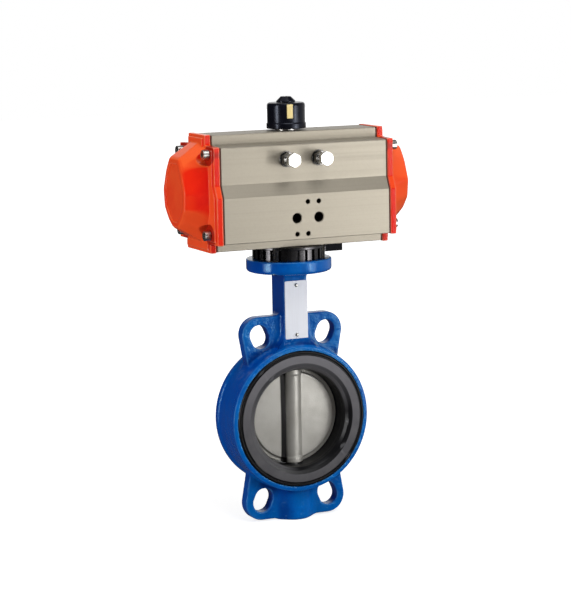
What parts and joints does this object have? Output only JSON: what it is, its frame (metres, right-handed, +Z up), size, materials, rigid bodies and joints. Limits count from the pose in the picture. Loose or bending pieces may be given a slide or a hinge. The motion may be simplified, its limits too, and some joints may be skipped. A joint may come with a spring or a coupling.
{
  "type": "pneumatically actuated butterfly valve",
  "caption": "Rack and pinion quarter-turn air actuator with end caps, stop screws and position indicator, bolted by a notched plate to a lugged wafer butterfly valve.",
  "frame": {"origin": "centre of the valve's bore, where the pipe axis crosses the stem axis", "axes": "+Z up the stem to the indicator, +Y along the pipe to the rear, +X along the actuator to the side of the plate's tab"},
  "size_m": [0.248, 0.1141, 0.4343],
  "materials": {
    "blue_enamel": "glossy blue enamel over a cast surface",
    "cap_paint": "glossy orange-red paint on die casting",
    "anodised_aluminium": "satin warm anodised extrusion",
    "cast_aluminium": "machined die casting",
    "cast_stainless": "blasted stainless casting",
    "turned_steel": "turned and zinc plated",
    "bright_chrome": "bright plated",
    "seat_rubber": "moulded dark grey rubber, dusty",
    "seal_rubber": "black nitrile",
    "black_plastic": "satin black moulding",
    "pale_yellow_plastic": "satin pale yellow",
    "bearing_plastic": "natural acetal",
    "bushing_bronze": "sintered bronze",
    "tag_metal": "bare pale aluminium plate"
  },
  "bodies": {
    "housing": {"valve_body": "blue_enamel", "valve_seat": "seat_rubber", "stem_bushing_lower": "bushing_bronze", "stem_bushing_upper": "bushing_bronze", "foot_bushing": "bushing_bronze", "stem_seal": "seal_rubber", "tag_plate": "tag_metal", "tag_rivet_lower": "turned_steel", "tag_rivet_upper": "turned_steel", "notched_plate": "black_plastic", "flange_bolt_1": "turned_steel", "flange_bolt_2": "turned_steel", "flange_bolt_3": "turned_steel", "flange_bolt_4": "turned_steel", "actuator_body": "anodised_aluminium", "pinion_bearing_bottom": "bearing_plastic", "pinion_bearing_top": "bearing_plastic", "cap_gasket_left": "seal_rubber", "cap_gasket_right": "seal_rubber", "end_cap_left": "cap_paint", "end_cap_right": "cap_paint", "cap_screw_left_1": "bright_chrome", "cap_screw_left_2": "bright_chrome", "cap_screw_left_3": "bright_chrome", "cap_screw_left_4": "bright_chrome", "cap_screw_right_1": "bright_chrome", "cap_screw_right_2": "bright_chrome", "cap_screw_right_3": "bright_chrome", "cap_screw_right_4": "bright_chrome", "stop_screw_open": "bright_chrome", "stop_nut_open": "bright_chrome", "stop_washer_open": "turned_steel", "stop_screw_closed": "bright_chrome", "stop_nut_closed": "bright_chrome", "stop_washer_closed": "turned_steel"},
    "drive": {"pinion": "turned_steel", "stop_cam": "turned_steel", "thrust_washer": "bearing_plastic", "retaining_ring": "turned_steel", "upper_stem": "turned_steel", "lower_stem": "turned_steel", "disc": "cast_stainless", "disc_pin_upper": "turned_steel", "disc_pin_lower": "turned_steel", "position_indicator": "black_plastic", "indicator_insert": "pale_yellow_plastic", "indicator_screw": "black_plastic"},
    "piston_left": {"piston_left": "cast_aluminium", "piston_ring_left": "seal_rubber", "piston_guide_left": "bearing_plastic"},
    "piston_right": {"piston_right": "cast_aluminium", "piston_ring_right": "seal_rubber", "piston_guide_right": "bearing_plastic"}
  },
  "joints": [
    {"name": "valve_turn", "type": "hinge", "parent": "housing", "child": "drive", "pos_m": [0, 0, 0], "axis": [0, 0, 1], "range_deg": [0, 90]},
    {"name": "piston_left_slide", "type": "slide", "parent": "housing", "child": "piston_left", "axis": [-1, 0, 0], "range_m": [0, 0.022]},
    {"name": "piston_right_slide", "type": "slide", "parent": "housing", "child": "piston_right", "axis": [1, 0, 0], "range_m": [0, 0.022]}
  ],
  "couplings": [
    {"joint": "piston_left_slide", "follows": "valve_turn", "m_per_rad": 0.014},
    {"joint": "piston_right_slide", "follows": "valve_turn", "m_per_rad": 0.014}
  ]
}
